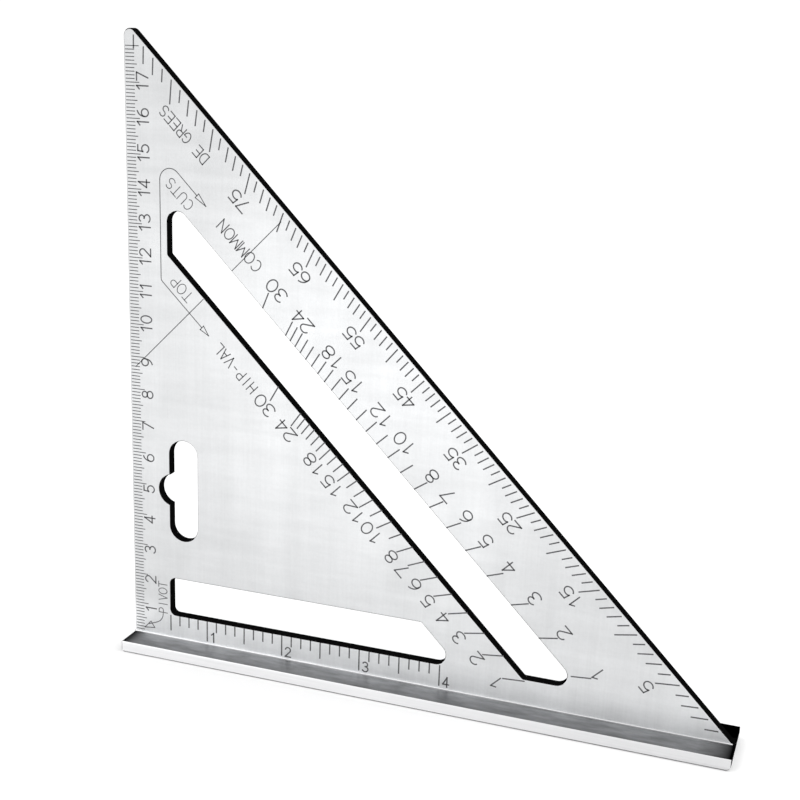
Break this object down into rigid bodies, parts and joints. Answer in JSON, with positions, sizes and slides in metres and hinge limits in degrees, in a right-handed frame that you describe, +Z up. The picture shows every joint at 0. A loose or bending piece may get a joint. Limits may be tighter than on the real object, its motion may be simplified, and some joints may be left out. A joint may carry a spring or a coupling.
{
  "type": "speed square",
  "caption": "Right-angled triangular marking square with a slotted graduated blade seated in a flat T-shaped fence.",
  "frame": {"origin": "centre of the fence's underside, which is the bottom centre of the overall box", "axes": "+X along the fence from the pivot corner to the tip, +Y through the blade away from the graduated face, +Z up the leg from the fence"},
  "size_m": [0.188, 0.021, 0.1882],
  "materials": {
    "blade": "satin brushed",
    "fence": "extruded, lightly brushed",
    "pin": "dressed flush"
  },
  "bodies": {
    "root": {"blade": "blade", "fence": "fence", "retaining_pin_1": "pin", "retaining_pin_2": "pin", "retaining_pin_3": "pin", "retaining_pin_4": "pin"}
  },
  "joints": []
}
